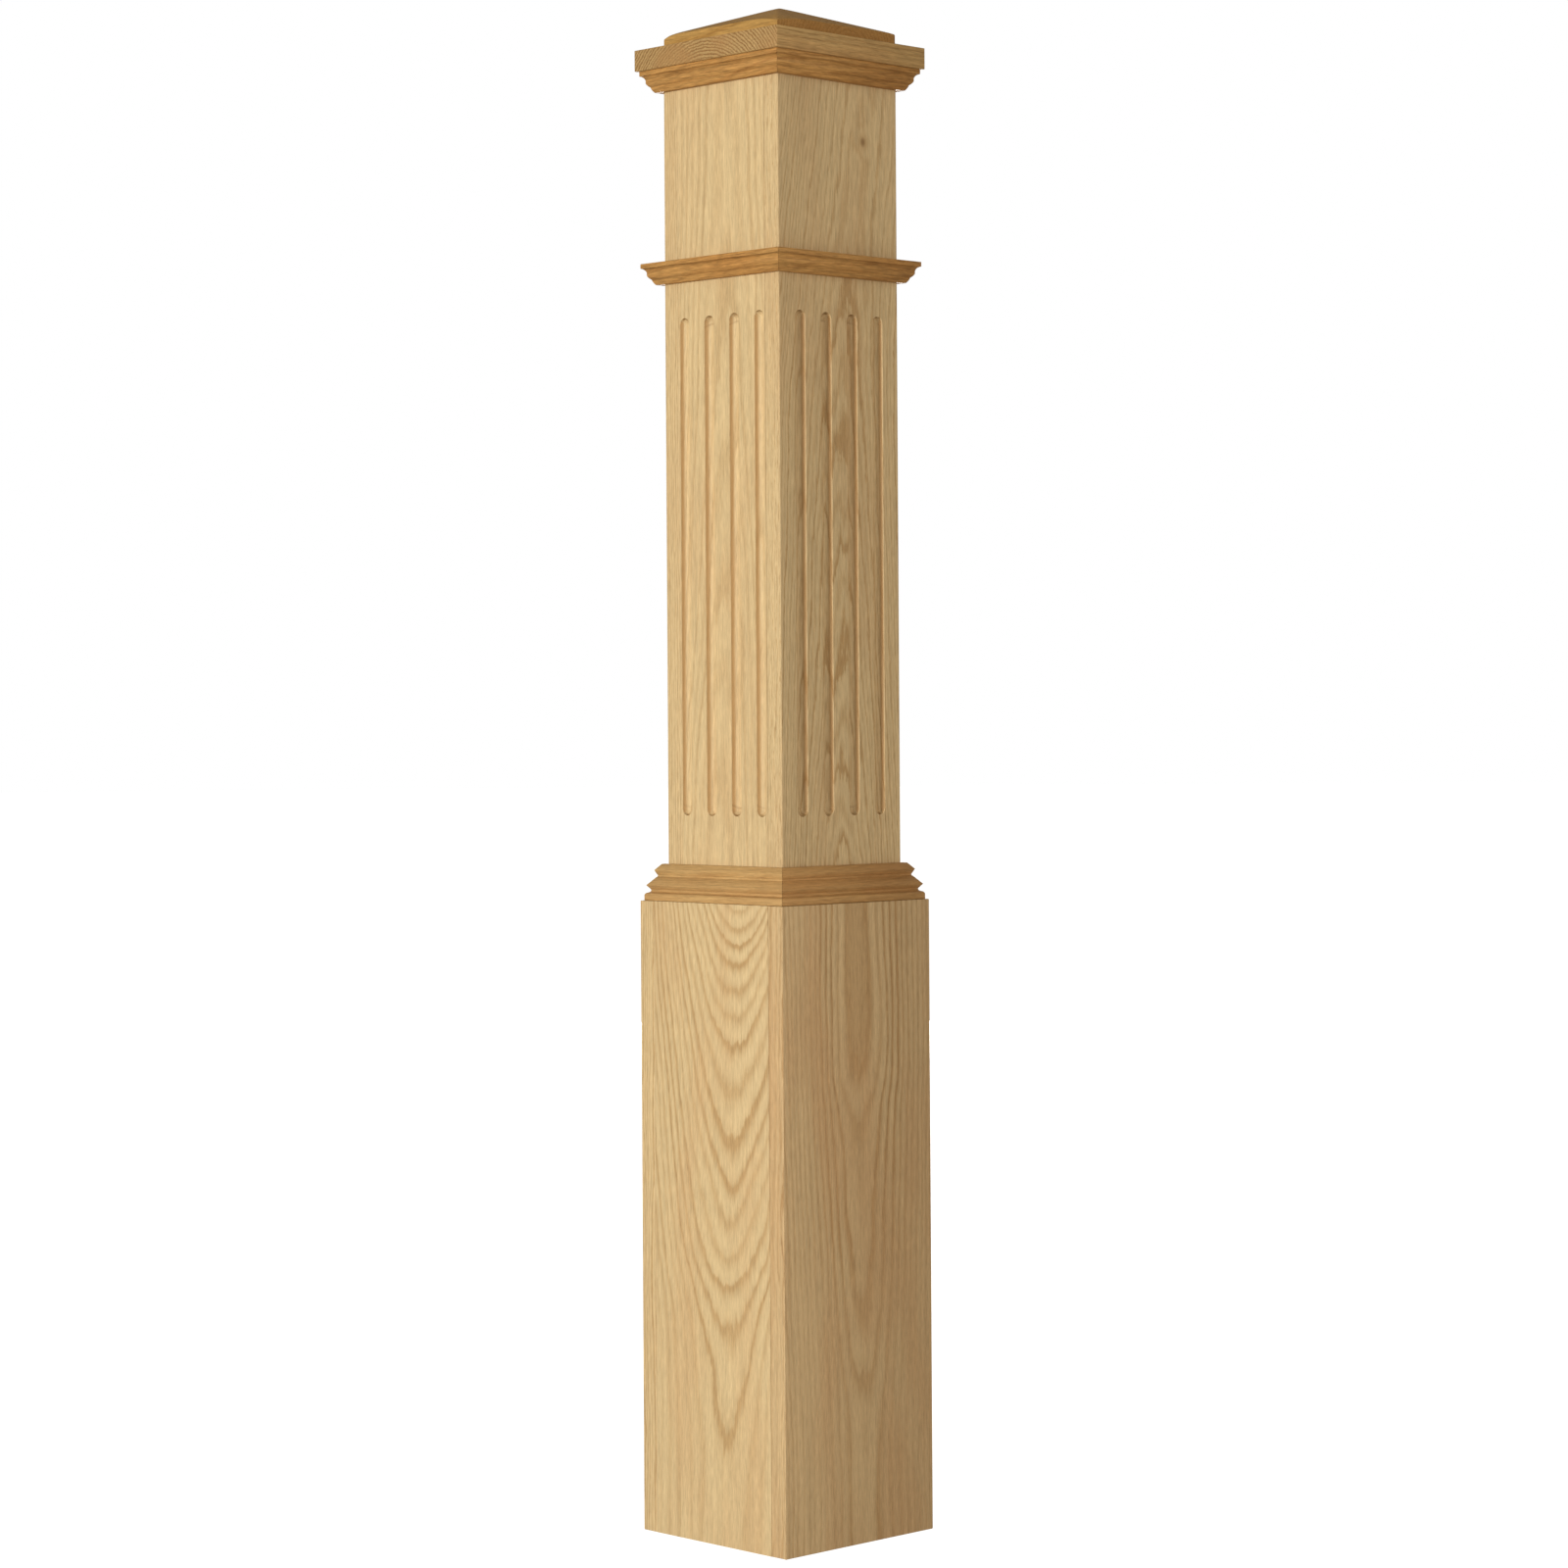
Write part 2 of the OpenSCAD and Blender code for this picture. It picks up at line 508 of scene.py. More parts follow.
@dataclass(frozen=True)
class Cut:
    """How a piece was sawn from its log, in mm. Heights run along the piece.

    Attributes:
        centre: How far across the face the heart of the log lies, at a few heights.
        depth: How far behind the face it lies, at a few heights.
        ring: How wide a growth ring is.
        phase: Where in a ring the count begins, from 0 to 1.
        wander: How far the rings stray slowly.
        fiddle: How far they stray in short waves.
        lines: How dark the ring lines are.
        fade: How that changes with the height.
        bold: The radius of one ring with a darker line, if there is one.
        heart: The radius of the darker heart, if it shows.
        strips: Half the board's width, if its edges show and have straight grain.
        faint: How much weaker every second ring line is, from 0 to 1.
        fuzz: How ragged the ring lines are.
        patches: How strong the warm patches are, from 0 to 1.
        shade: A colour laid over the whole piece: the wood's own tone, and painted shade on the foot's
            right length and the upper front board.
        knot: A pin knot, if there is one.
        seed: A number that makes the piece's grain its own.
    """

    centre: Points
    depth: Points
    ring: float = 4.3
    phase: float = 0.0
    wander: float = 1.6
    fiddle: float = 0.6
    lines: float = 1.0
    fade: Points = ((0.0, 1.0), (1.0, 1.0))
    bold: Optional[float] = None
    heart: Optional[float] = None
    strips: Optional[float] = None
    faint: float = 0.0
    fuzz: float = 0.5
    patches: float = 0.3
    shade: Colour = WHITE
    knot: Optional[Knot] = None
    seed: float = 0.0


@dataclass(frozen=True)
class OakFinish:
    """Oak as one part of the post shows it: the colours of its wood and how it takes the light.

    Attributes:
        slot: The record's material slot. It is not used.
        pale: The colour of the dense wood between the ring lines.
        line: The colour of the ring lines.
        blush: The colour of the warm patches.
        pore: The colour inside the open pores.
        end_tint: The colour that end grain is multiplied by.
        roughness: How dull the surface is.
        end_contrast: How much darker the ring lines are on end grain.
        streak: How strong the streaks along the fibres are.
        pores: How strong the open pores are.
        ring_profile: How a ring's line fades into its pale wood.
    """

    slot: str
    pale: Colour
    line: Colour
    blush: Colour
    pore: Colour
    end_tint: Colour
    roughness: float
    end_contrast: float = 1.3
    streak: float = 0.19
    pores: float = 0.35
    ring_profile: Points = RING_PROFILE

    def material(
        self,
        name: str,
        side: Side,
        grain: Grain,
        face: Vector,
        cut: Cut,
        groove: Optional["Groove"] = None,
    ) -> bpy.types.Material:
        """Makes the material of one piece.

        Args:
            name: The material's name.
            side: The side that the piece is on.
            grain: Which way its fibres run.
            face: A point on its outer face when its side is turned to the front, in metres.
            cut: How it was sawn.
            groove: The flutes in its face, if it has them.

        Returns:
            The material.
        """
        made = bpy.data.materials.new(name)
        graph = Graph(made)
        place = self._place(graph, side, grain, face)
        rings = self._rings(graph, cut, place)
        pores = self._pores(graph, cut, place, rings)
        end = self._end_grain(graph, side, grain)
        colour = self._colour(graph, cut, place, rings, end, pores)
        if cut.knot:
            colour = self._knot_colour(graph, cut.knot, place, colour)
        if groove:
            colour = groove.colour(graph, place, colour)
        colour = graph.mix(end, colour, graph.tint(1.0, colour, self.end_tint))
        self._shade(graph, cut, place, colour, rings, pores)
        return made

    def _place(self, graph: Graph, side: Side, grain: Grain, face: Vector) -> Place:
        """Works out where a point is in its board.

        Args:
            graph: The material's nodes.
            side: The side that the piece is on.
            grain: Which way its fibres run.
            face: A point on its outer face, at the front, in metres.

        Returns:
            Its distances across the face, in from it and along the fibres.
        """
        spot = graph.node("ShaderNodeTexCoord", {}).outputs["Object"]
        inputs = {
            "Vector": spot,
            "Rotation": (0.0, 0.0, -side.value * math.pi / 2),
            "Location": (0.0, -face.y / MM, 0.0),
            "Scale": (1 / MM, 1 / MM, 1 / MM),
        }
        turned = graph.node("ShaderNodeMapping", inputs, vector_type="POINT").outputs[0]
        x, y, z = graph.node("ShaderNodeSeparateXYZ", {0: turned}).outputs
        if grain is Grain.UPRIGHT:
            return Place(x, y, z, graph.vector(x, y, z))
        level = graph.math("SUBTRACT", z, face.z / MM)
        if grain is Grain.LEVEL:
            return Place(level, y, x, graph.vector(level, y, x))
        below = graph.math("MULTIPLY", level, -1.0)
        return Place(x, below, y, graph.vector(x, below, y))

    def _radius(
        self, graph: Graph, cut: Cut, place: Place, off_centre: Socket, height: Socket
    ) -> Socket:
        """Works out how far a point is from the heart of the log.

        Args:
            graph: The material's nodes.
            cut: How the piece was sawn.
            place: Where the point is in its board.
            off_centre: How far to the side of the heart it is.
            height: The height at which the heart's depth is taken.

        Returns:
            The distance, in mm, with the waver of real rings in it.
        """
        behind = graph.math("SUBTRACT", graph.curve(height, cut.depth), place.inward)
        flat = graph.vector(off_centre, behind, 0.0)
        radius = graph.node("ShaderNodeVectorMath", {0: flat}, operation="LENGTH").outputs[1]
        pushes = ((RING_WANDER, 2 * cut.wander), (RING_FIDDLE, 2 * cut.fiddle), (RING_FUZZ, cut.fuzz))
        for layer, reach in pushes:
            push = graph.swing(graph.layer(place.point, layer, cut.seed), reach)
            radius = graph.math("ADD", radius, push)
        if cut.knot:
            radius = graph.math("ADD", radius, self._knot_push(graph, cut.knot, place))
        return radius

    def _rings(self, graph: Graph, cut: Cut, place: Place) -> Socket:
        """Works out the growth rings at a point.

        Args:
            graph: The material's nodes.
            cut: How the piece was sawn.
            place: Where the point is in its board.

        Returns:
            How much of a ring line is here, from 0 to 1.
        """
        height = place.along
        if cut.strips:
            aside = graph.math("ABSOLUTE", place.across)
            strip = graph.ramp(aside, cut.strips - STRIP_FROM, cut.strips - STRIP_FULL)
            middle = (cut.centre[0][0] + cut.centre[-1][0]) / 2
            steady = graph.math("MULTIPLY", graph.math("SUBTRACT", middle, height), STRIP_STEADY)
            height = graph.math("ADD", height, graph.math("MULTIPLY", steady, strip))
        off_centre = graph.math("SUBTRACT", place.across, graph.curve(height, cut.centre))
        radius = self._radius(graph, cut, place, off_centre, height)
        out = graph.vector(graph.math("MULTIPLY", radius, SPREAD_PITCH), cut.seed, 0.0)
        spread = graph.noise(out, detail=1.0)
        count = graph.math("ADD", graph.math("DIVIDE", radius, cut.ring), graph.swing(spread, SPREAD))
        if cut.strips:
            count = graph.math("MULTIPLY", count, graph.math("MULTIPLY_ADD", strip, STRIP_RINGS, 1.0))
        count = graph.math("ADD", count, cut.phase)
        within = graph.profile(graph.math("FRACT", count), self.ring_profile)
        strength = self._strength(graph, cut, count)
        slant = graph.math("DIVIDE", graph.math("ABSOLUTE", off_centre), radius)
        strength = graph.math("MULTIPLY", strength, graph.step(slant, GRAZED_RING))
        strength = graph.math("MULTIPLY", strength, graph.curve(place.along, cut.fade))
        rings = graph.math("MULTIPLY", within, strength, clamp=True)
        if cut.bold:
            near = graph.math("ABSOLUTE", graph.math("SUBTRACT", radius, cut.bold))
            rings = graph.math("ADD", rings, graph.step(near, BOLD_LINE), clamp=True)
        if cut.heart:
            heart = graph.ramp(radius, cut.heart - HEART_EDGE, cut.heart, HEART_SHARE, 0.0)
            rings = graph.math("ADD", rings, heart, clamp=True)
        return rings

    def _strength(self, graph: Graph, cut: Cut, count: Socket) -> Socket:
        """Gives each ring line a darkness of its own.

        Args:
            graph: The material's nodes.
            cut: How the piece was sawn.
            count: How many rings out from the heart this is.

        Returns:
            How dark this ring's line is.
        """
        which = graph.math("ADD", graph.math("FLOOR", count), cut.seed * SEED_STRIDE)
        chance = graph.node("ShaderNodeTexWhiteNoise", {"W": which}, noise_dimensions="1D").outputs[0]
        strength = graph.math("MULTIPLY_ADD", chance, MORE_STRENGTH, LEAST_STRENGTH)
        if cut.faint:
            half = graph.math("FRACT", graph.math("MULTIPLY", count, 0.5))
            second = graph.math("GREATER_THAN", half, 0.5)
            share = graph.math("MULTIPLY_ADD", second, -cut.faint, 1.0)
            strength = graph.math("MULTIPLY", strength, share)
        return strength

    def _pores(self, graph: Graph, cut: Cut, place: Place, rings: Socket) -> Socket:
        """Works out the open pores at a point, dense in the ring lines and sparse between them.

        Args:
            graph: The material's nodes.
            cut: How the piece was sawn.
            place: Where the point is in its board.
            rings: How much of a ring line is here.

        Returns:
            How open the pores are, from 0 to 1.
        """
        open_pores = graph.step(graph.layer(place.point, OPEN_PORES, cut.seed), PORE_OPENING)
        crowd = graph.math("MULTIPLY_ADD", rings, PORES_IN_LINES, PORES_BETWEEN)
        return graph.math("MULTIPLY", open_pores, crowd)

    def _colour(
        self, graph: Graph, cut: Cut, place: Place, rings: Socket, end: Socket, pores: Socket
    ) -> Socket:
        """Works out the wood's colour at a point.

        Args:
            graph: The material's nodes.
            cut: How the piece was sawn.
            place: Where the point is in its board.
            rings: How much of a ring line is here.
            end: How far this face cuts across the fibres.
            pores: How open the pores are.

        Returns:
            The colour.
        """
        contrast = graph.math("MULTIPLY_ADD", end, self.end_contrast, cut.lines)
        share = graph.math("MULTIPLY", rings, contrast, clamp=True)
        colour = graph.mix(share, self.pale, self.line)
        warm = graph.layer(place.point, WARM_PATCHES, cut.seed)
        colour = graph.mix(graph.ramp(warm, *PATCH_SPAN, 0.0, cut.patches), colour, self.blush)
        streaks = graph.layer(place.point, LONG_STREAKS, cut.seed)
        light = graph.math("ADD", 1.0, graph.swing(streaks, self.streak))
        fibres = graph.layer(place.point, SHORT_FIBRES, cut.seed)
        light = graph.math("ADD", light, graph.swing(fibres, self.streak * FIBRE_SHARE))
        colour = graph.tint(1.0, colour, graph.vector(light, light, light))
        colour = graph.mix(graph.math("MULTIPLY", pores, self.pores), colour, self.pore)
        return graph.tint(1.0, colour, cut.shade)

    def _knot_distance(self, graph: Graph, knot: Knot, place: Place) -> Socket:
        """Works out how far a point is from a knot, which is longer along the fibres.

        Args:
            graph: The material's nodes.
            knot: The knot.
            place: Where the point is in its board.

        Returns:
            The distance, in the knot's radii.
        """
        aside = graph.math("SUBTRACT", place.across, knot.across)
        aside = graph.math("DIVIDE", aside, knot.radius)
        above = graph.math("SUBTRACT", place.along, knot.along)
        above = graph.math("DIVIDE", above, knot.radius * KNOT_LENGTH)
        flat = graph.vector(aside, above, 0.0)
        return graph.node("ShaderNodeVectorMath", {0: flat}, operation="LENGTH").outputs[1]

    def _knot_push(self, graph: Graph, knot: Knot, place: Place) -> Socket:
        """Gives how far a knot pushes the rings aside, in mm."""
        distance = self._knot_distance(graph, knot, place)
        return graph.ramp(distance, 0.0, KNOT_REACH, knot.radius * KNOT_PUSH, 0.0)

    def _knot_colour(self, graph: Graph, knot: Knot, place: Place, colour: Socket) -> Socket:
        """Darkens the wood at and round a knot.

        Args:
            graph: The material's nodes.
            knot: The knot.
            place: Where the point is in its board.
            colour: The wood's own colour.

        Returns:
            The colour with the knot in it.
        """
        distance = self._knot_distance(graph, knot, place)
        colour = graph.mix(graph.step(distance, KNOT_HALO), colour, self.line)
        return graph.mix(graph.step(distance, KNOT_CORE), colour, self.pore)

    def _end_grain(self, graph: Graph, side: Side, grain: Grain) -> Socket:
        """Tells end grain from the faces that run with the fibres.

        Args:
            graph: The material's nodes.
            side: The side that the piece is on.
            grain: Which way its fibres run.

        Returns:
            1 where a face cuts across the fibres and 0 where it runs with them.
        """
        ways = {
            Grain.UPRIGHT: Vector((0, 0, 1)),
            Grain.LEVEL: side.turn @ Vector((1, 0, 0)),
            Grain.INWARD: side.turn @ Vector((0, 1, 0)),
        }
        normal = graph.node("ShaderNodeNewGeometry", {}).outputs["True Normal"]
        inputs = {0: normal, 1: ways[grain]}
        facing = graph.node("ShaderNodeVectorMath", inputs, operation="DOT_PRODUCT").outputs[1]
        return graph.step(graph.math("ABSOLUTE", facing), END_GRAIN)

    def _shade(
        self, graph: Graph, cut: Cut, place: Place, colour: Socket, rings: Socket, pores: Socket
    ) -> None:
        """Adds the shader, with roughness and bump from the pores and rings.

        Args:
            graph: The material's nodes.
            cut: How the piece was sawn.
            place: Where the point is in its board.
            colour: The wood's colour.
            rings: How much of a ring line is here.
            pores: How open the pores are.
        """
        rough = graph.math("MULTIPLY_ADD", pores, PORE_ROUGHNESS, self.roughness)
        rough = graph.math("ADD", rough, graph.math("MULTIPLY", rings, LINE_ROUGHNESS), clamp=True)
        grit = graph.layer(place.point, SANDED_GRIT, cut.seed)
        height = graph.math("MULTIPLY_ADD", pores, -1.0, graph.math("MULTIPLY", rings, LINE_RELIEF))
        height = graph.math("ADD", height, graph.swing(grit, GRIT_RELIEF))
        relief = {"Strength": BUMP_STRENGTH, "Distance": PORE_DEPTH, "Height": height}
        inputs = {
            "Base Color": colour,
            "Roughness": rough,
            "Normal": graph.node("ShaderNodeBump", relief).outputs[0],
            "IOR": WOOD_IOR,
            "Specular IOR Level": WOOD_GLOSS,
        }
        shader = graph.node("ShaderNodeBsdfPrincipled", inputs).outputs[0]
        graph.node("ShaderNodeOutputMaterial", {"Surface": shader})


BOARD_OAK = OakFinish(
    slot="oak_board",
    pale=(0.650, 0.480, 0.248),
    line=(0.455, 0.280, 0.115),
    blush=(0.58, 0.370, 0.175),
    pore=(0.27, 0.155, 0.062),
    end_tint=(0.62, 0.56, 0.48),
    roughness=0.52,
)
FOOT_OAK = OakFinish(
    slot="oak_moulding",
    pale=(0.555, 0.350, 0.138),
    line=(0.465, 0.265, 0.092),
    blush=(0.48, 0.270, 0.098),
    pore=(0.24, 0.12, 0.042),
    end_tint=(0.62, 0.56, 0.48),
    roughness=0.50,
    streak=0.22,
    pores=0.45,
)
TRIM_OAK = OakFinish(
    slot="oak_moulding",
    pale=(0.475, 0.250, 0.074),
    line=(0.320, 0.142, 0.036),
    blush=(0.40, 0.180, 0.044),
    pore=(0.17, 0.072, 0.020),
    end_tint=(0.62, 0.56, 0.48),
    roughness=0.50,
    streak=0.40,
    pores=0.75,
)
PLATE_OAK = OakFinish(
    slot="oak_cap",
    pale=(0.515, 0.333, 0.130),
    line=(0.300, 0.160, 0.051),
    blush=(0.435, 0.235, 0.081),
    pore=(0.20, 0.10, 0.034),
    end_tint=(0.88, 0.87, 0.89),
    roughness=0.54,
    streak=0.30,
)
BLOCK_OAK = OakFinish(
    slot="oak_cap",
    pale=(0.460, 0.262, 0.074),
    line=(0.330, 0.160, 0.034),
    blush=(0.40, 0.198, 0.040),
    pore=(0.18, 0.085, 0.024),
    end_tint=(0.90, 0.82, 0.82),
    roughness=0.60,
    end_contrast=-0.1,
    streak=0.30,
)


# --------------------------------------------------------------------------- the post's own parts

LIP_DEPTH = 0.0005  # points above this depth belong to a flute's eased lip
WALL_SHADE_WIDTH = SoftStep(2.8, 4.6, 0.0, 0.6)  # where the painted shade on a flute's wall lies, in mm from its middle
WALL_SHADE_DEPTH = SoftStep(0.25, 0.9)  # and in mm below the face
NOSE_LIGHT_WIDTH = SoftStep(1.6, 4.2, 1.0, 0.0)  # where the painted light on a flute's rounded bottom lies, in mm from its middle
NOSE_LIGHT_DEPTH = SoftStep(0.5, 1.5)  # and in mm below the face
# The darkening at the flutes' ends is mostly painted shade, in the round ends and at the crease before
# them, with some scorch.
CREASE_BOW = -0.08  # how strongly the crease before a flute's end is bowed
CREASE_START = SoftStep(-0.6, 0.6)  # where the crease begins, in mm from the round end's middle
CREASE_END = SoftStep(0.8, 2.4, 0.45, 0.0)  # and how it dies away
HAZE_END = SoftStep(-4.5, 2.5, 0.35, 0.0)  # how the painted shade haze in a round end dies away, in mm
SHADE_AND_SCORCH_DEPTH = SoftStep(0.05, 0.5, 0.0, 0.62)  # the painted shade and scorch begin just below the face, in mm
SHADE_AND_SCORCH_PATCHES = Layer(0.05, 0.017, detail=1.0)  # some ends are darker than others
SHADE_AND_SCORCH_SPAN = SoftStep(0.44, 0.66)  # where in that noise the darkening begins and is full
SHADE_AND_SCORCH_SEED = 5.0
SAME_SPOT = 1e-6  # points closer than this are one, in metres
SQUARE_ON = 0.999  # a face looks straight out where its normal does to at least this share


@dataclass(frozen=True)
class Groove:
    """The flutes in a board: round-nosed grooves with round ends, in metres.

    Attributes:
        centres: Where their middles are across the face.
        bottom: Where they begin.
        top: Where they end.
        width: How wide one is at the face.
        depth: How deep its middle is.
        ease: How far its lips are taken back.
        dimple: How much deeper the cutter sank where it went in and came out.
        turns: How many straight bits a round end is made of.
        rows: How many bits there are from the lip to the middle.
        closing: How far from each end the rows of points stand, close together at first.
        wall_shade_colour: The darker orange of its walls: painted shade, with some burnished cut wood.
        floor_light_tint: How much lighter its middle is: painted light on the flute's floor.
        shade_and_scorch_colour: The dark of its ends: painted shade, with some scorch.
    """

    centres: tuple[float, ...]
    bottom: float
    top: float
    width: float = 0.011
    depth: float = 0.004
    ease: float = 0.0002
    dimple: float = 0.00015
    turns: int = 14
    rows: int = 14
    closing: tuple[float, ...] = (0.0004, 0.0008, 0.0012, 0.0016, 0.0022)
    wall_shade_colour: Colour = (0.44, 0.225, 0.070)
    floor_light_tint: Colour = (1.07, 1.07, 1.07)
    shade_and_scorch_colour: Colour = (0.20, 0.095, 0.035)

    @property
    def radius(self) -> float:
        """Radius of the cutter's nose."""
        return (self.width**2 / 4 + self.depth**2) / (2 * self.depth)

    @property
    def ends(self) -> tuple[float, float]:
        """Where the two round ends have their middles, the lower one first."""
        return self.bottom + self.width / 2, self.top - self.width / 2

    def levels(self) -> list[tuple[float, float]]:
        """Works out the groove's section from its lip to its middle.

        Returns:
            Pairs of half width and depth.
        """
        lip = math.asin(self.width / 2 / self.radius)
        section = [(self.width / 2 + self.ease, 0.0)]
        section.append((self.width / 2 + self.ease * 0.25, self.ease * 0.35))
        for row in range(1, self.rows + 1):
            turn = lip * (1 - row / self.rows)
            sunk = self.radius * math.cos(turn) - self.radius + self.depth
            section.append((self.radius * math.sin(turn), sunk))
        return section

    def _round_end(self, half: float, middle: float, first: float) -> list[tuple[float, float]]:
        """Works out half a circle round one end of a flute.

        Args:
            half: Its radius.
            middle: How high its middle is.
            first: The angle at which it begins.

        Returns:
            Points across and up the face.
        """
        turns = [first + math.pi * turn / self.turns for turn in range(self.turns + 1)]
        return [(half * math.cos(turn), middle + half * math.sin(turn)) for turn in turns]

    def loop(
        self, mesh: bmesh.types.BMesh, centre: float, half: float, depth: float, face: float
    ) -> list[bmesh.types.BMVert]:
        """Adds one level of a flute: a long round-ended loop.

        Args:
            mesh: The mesh to add to.
            centre: Where the flute's middle is across the face.
            half: Half the loop's width.
            depth: How deep it lies.
            face: Where the board's face is.

        Returns:
            The loop's points, in order.
        """
        low, high = self.ends
        heights = [low + step for step in self.closing]
        heights += [high - step for step in reversed(self.closing)]
        spots = [(half, z) for z in heights] + self._round_end(half, high, 0.0)
        spots += [(-half, z) for z in reversed(heights)] + self._round_end(half, low, math.pi)
        points = []
        for across, z in spots:
            aside = math.hypot(across, min(abs(z - low), abs(z - high)))
            fall = math.sqrt(max(self.radius**2 - aside**2, 0.0)) - self.radius
            sunk = fall + self.depth + self.dimple
            deep = max(depth, sunk) if depth > LIP_DEPTH else depth
            points.append(mesh.verts.new((centre + across, face + deep, z)))
        return points

    def carve(self, mesh: bmesh.types.BMesh, face: float) -> list[bmesh.types.BMEdge]:
        """Adds the flutes' surfaces.

        Args:
            mesh: The mesh to add to.
            face: Where the board's face is.

        Returns:
            The edges round the flutes' lips.
        """
        lips = []
        for centre in self.centres:
            loops = [self.loop(mesh, centre, half, depth, face) for half, depth in self.levels()]
            for outer, inner in zip(loops, loops[1:]):
                for index in range(len(outer)):
                    after = (index + 1) % len(outer)
                    made = mesh.faces.new((outer[index], outer[after], inner[after], inner[index]))
                    made.smooth = True
            lip = loops[0]
            lips += [mesh.edges.get(pair) for pair in zip(lip, lip[1:] + lip[:1])]
        return lips

    def _nearest(self, graph: Graph, place: Place) -> Socket:
        """Works out how far a point is from the middle of the nearest flute.

        Args:
            graph: The material's nodes.
            place: Where the point is in its board.

        Returns:
            The distance across the face, in mm.
        """
        offsets = [graph.math("SUBTRACT", place.across, centre / MM) for centre in self.centres]
        nearest, *others = [graph.math("ABSOLUTE", offset) for offset in offsets]
        for other in others:
            nearest = graph.math("MINIMUM", nearest, other)
        return nearest

    def colour(self, graph: Graph, place: Place, colour: Socket) -> Socket:
        """Paints shade on the flute walls, with some burnished orange, paints light on their floors,
        and darkens their ends with painted shade and some scorch.

        Args:
            graph: The material's nodes.
            place: Where a point is in its board.
            colour: The wood's own colour.

        Returns:
            The colour with the flutes' painted light, painted shade and scorch.
        """
        reach = max(self.centres) / MM + self.width / MM
        fluted = graph.ramp(graph.math("ABSOLUTE", place.across), reach - 1.0, reach, 1.0, 0.0)
        aside = self._nearest(graph, place)
        # Painted shade on the flute walls, with some burnished orange.
        wall_shade = graph.step(aside, WALL_SHADE_WIDTH)
        wall_shade = graph.math("MULTIPLY", wall_shade, graph.step(place.inward, WALL_SHADE_DEPTH))
        colour = graph.mix(graph.math("MULTIPLY", wall_shade, fluted), colour, self.wall_shade_colour)
        # Painted light on the flute floors.
        middle = graph.step(aside, NOSE_LIGHT_WIDTH)
        middle = graph.math("MULTIPLY", middle, graph.step(place.inward, NOSE_LIGHT_DEPTH))
        colour = graph.tint(graph.math("MULTIPLY", middle, fluted), colour, self.floor_light_tint)
        # Painted shade, with some scorch, at the flute ends.
        shade_and_scorch = graph.math("MULTIPLY", self._scorch(graph, place, aside), fluted, clamp=True)
        return graph.mix(shade_and_scorch, colour, self.shade_and_scorch_colour)

    def _scorch(self, graph: Graph, place: Place, aside: Socket) -> Socket:
        """Works out the darkening at the flutes' ends: mostly painted shade, with some scorch where
        the cutter went in and came out.

        Args:
            graph: The material's nodes.
            place: Where the point is in its board.
            aside: How far it is from the middle of its flute, in mm.

        Returns:
            How dark the painted shade and scorch are: a haze in each round end with a bowed crease
            before it.
        """
        low, high = (end / MM for end in self.ends)
        from_high = graph.math("SUBTRACT", high, place.along)
        from_low = graph.math("SUBTRACT", place.along, low)
        past = graph.math("MINIMUM", from_high, from_low)
        bowed = graph.math("MULTIPLY_ADD", graph.math("MULTIPLY", aside, aside), CREASE_BOW, past)
        crease = graph.math("MULTIPLY", graph.step(bowed, CREASE_START), graph.step(bowed, CREASE_END))
        haze = graph.math("ADD", graph.step(past, HAZE_END), crease)
        flat = graph.vector(place.across, 0.0, place.along)
        uneven = graph.step(graph.layer(flat, SHADE_AND_SCORCH_PATCHES, SHADE_AND_SCORCH_SEED), SHADE_AND_SCORCH_SPAN)
        shade_and_scorch = graph.math("MULTIPLY", haze, graph.step(place.inward, SHADE_AND_SCORCH_DEPTH))
        return graph.math("MULTIPLY", shade_and_scorch, uneven)


@dataclass
class Board:
    """One board of a box.

    Attributes:
        node: The CAD node that it stands for.
        side: The side that it is on.
        cut: How it was sawn.
        ease: How far its arrises are taken back, in metres.
        groove: The flutes in its face, if it has them.
    """

    node: str
    side: Side
    cut: Cut
    ease: float
    groove: Optional[Groove] = None

    def build(self) -> bpy.types.Object:
        """Builds the board and gives it its oak.

        Returns:
            The new piece.
        """
        low, high = side_box(self.node, self.side)
        mesh = eased_box(low, high, self.ease)
        sharpen(mesh)
        if self.groove:
            self._open_face(mesh, low.y)
        piece = piece_from(mesh, f"oak_{self.node}", self.side, self.node)
        material = BOARD_OAK.material(piece.name, self.side, Grain.UPRIGHT, low, self.cut, self.groove)
        piece.data.materials.append(material)
        return piece

    def _open_face(self, mesh: bmesh.types.BMesh, face: float) -> None:
        """Takes out the board's flat face and puts back one with the flutes in it.

        Args:
            mesh: The board.
            face: Where its outer face is.
        """
        outward = [found for found in mesh.faces if found.normal.y < -SQUARE_ON]
        flat = [found for found in outward if abs(found.calc_center_median().y - face) < SAME_SPOT]
        rim = list(dict.fromkeys(edge for found in flat for edge in found.edges))
        bmesh.ops.delete(mesh, geom=flat, context="FACES_ONLY")
        lips = self.groove.carve(mesh, face)
        filled = bmesh.ops.triangle_fill(mesh, edges=rim + lips, use_beauty=True, use_dissolve=False)
        for item in filled["geom"]:
            if isinstance(item, bmesh.types.BMFace):
                item.smooth = False
        bmesh.ops.remove_doubles(mesh, verts=mesh.verts, dist=SAME_SPOT)


